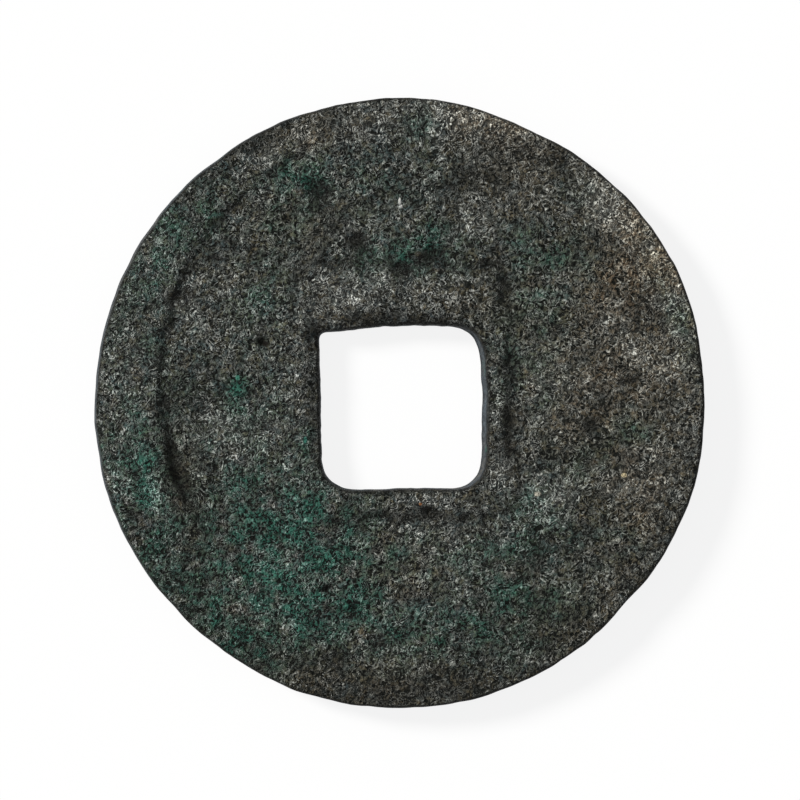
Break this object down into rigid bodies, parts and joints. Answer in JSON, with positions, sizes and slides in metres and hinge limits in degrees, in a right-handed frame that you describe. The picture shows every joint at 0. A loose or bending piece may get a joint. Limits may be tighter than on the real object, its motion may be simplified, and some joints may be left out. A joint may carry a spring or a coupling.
{
  "type": "chinese cash coin",
  "caption": "Round cast bronze cash coin with a square centre hole and raised rims, worn, with a dark green-brown patina.",
  "frame": {"origin": "centre of the coin's outline, on the plane that it lies on", "axes": "+Z through the thickness, out of the plain face; +X to the right and +Y to the top of that face"},
  "size_m": [0.0246, 0.0244, 0.0013],
  "materials": {
    "patinated_bronze": "rough dark green-brown patina on cast bronze"
  },
  "bodies": {
    "root": {"cast_coin": "patinated_bronze"}
  },
  "joints": []
}
